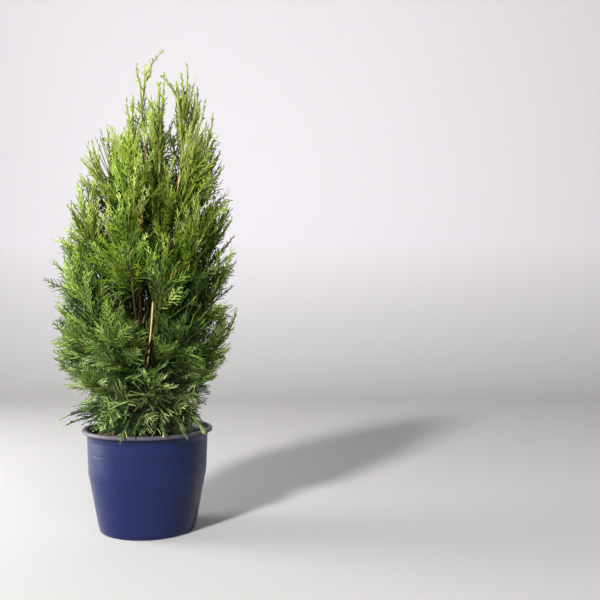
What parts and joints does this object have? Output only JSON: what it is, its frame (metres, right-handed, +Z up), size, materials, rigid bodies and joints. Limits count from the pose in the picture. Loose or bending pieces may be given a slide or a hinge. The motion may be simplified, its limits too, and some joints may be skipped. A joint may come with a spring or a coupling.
{
  "type": "potted conifer",
  "caption": "Young upright thuja in a round blue nursery pot: a slim cone of flat green sprays round a leaning trunk.",
  "frame": {"origin": "centre of the pot's flat underside", "axes": "+Z up along the pot, +Y to the back, +X to the right as seen from the front"},
  "size_m": [0.2878, 0.2768, 0.7102],
  "materials": {
    "pot": "thin moulded plastic, satin, dark blue, a little dusty at the lip",
    "soil": "dark moist potting mix with red-brown bark chips",
    "bark": "thin fibrous red-brown bark, orange on the younger stems",
    "foliage": "scale leaves, matte with a slight waxy sheen, yellow-green at the tips and dark green inside"
  },
  "bodies": {
    "root": {"bough_front": "bark", "bough_high_1": "bark", "bough_high_2": "bark", "bough_high_3": "bark", "bough_high_4": "bark", "bough_high_5": "bark", "bough_left": "bark", "bough_right": "bark", "bough_upper_1": "bark", "bough_upper_2": "bark", "bough_upper_3": "bark", "bough_upper_4": "bark", "bough_upper_5": "bark", "bough_upper_6": "bark", "plume_front": "foliage", "plume_high_1": "foliage", "plume_high_2": "foliage", "plume_high_3": "foliage", "plume_high_4": "foliage", "plume_high_5": "foliage", "plume_left": "foliage", "plume_low_1": "foliage", "plume_low_2": "foliage", "plume_low_3": "foliage", "plume_low_4": "foliage", "plume_low_5": "foliage", "plume_low_6": "foliage", "plume_low_7": "foliage", "plume_lower_1": "foliage", "plume_lower_2": "foliage", "plume_lower_3": "foliage", "plume_lower_4": "foliage", "plume_lower_5": "foliage", "plume_lower_6": "foliage", "plume_lower_7": "foliage", "plume_middle_1": "foliage", "plume_middle_2": "foliage", "plume_middle_3": "foliage", "plume_middle_4": "foliage", "plume_middle_5": "foliage", "plume_middle_6": "foliage", "plume_right": "foliage", "plume_skirt_1": "foliage", "plume_skirt_2": "foliage", "plume_skirt_3": "foliage", "plume_skirt_4": "foliage", "plume_skirt_5": "foliage", "plume_skirt_6": "foliage", "plume_skirt_7": "foliage", "plume_top": "foliage", "plume_upper_1": "foliage", "plume_upper_2": "foliage", "plume_upper_3": "foliage", "plume_upper_4": "foliage", "plume_upper_5": "foliage", "plume_upper_6": "foliage", "pot": "pot", "soil": "soil", "trunk": "bark"}
  },
  "joints": []
}
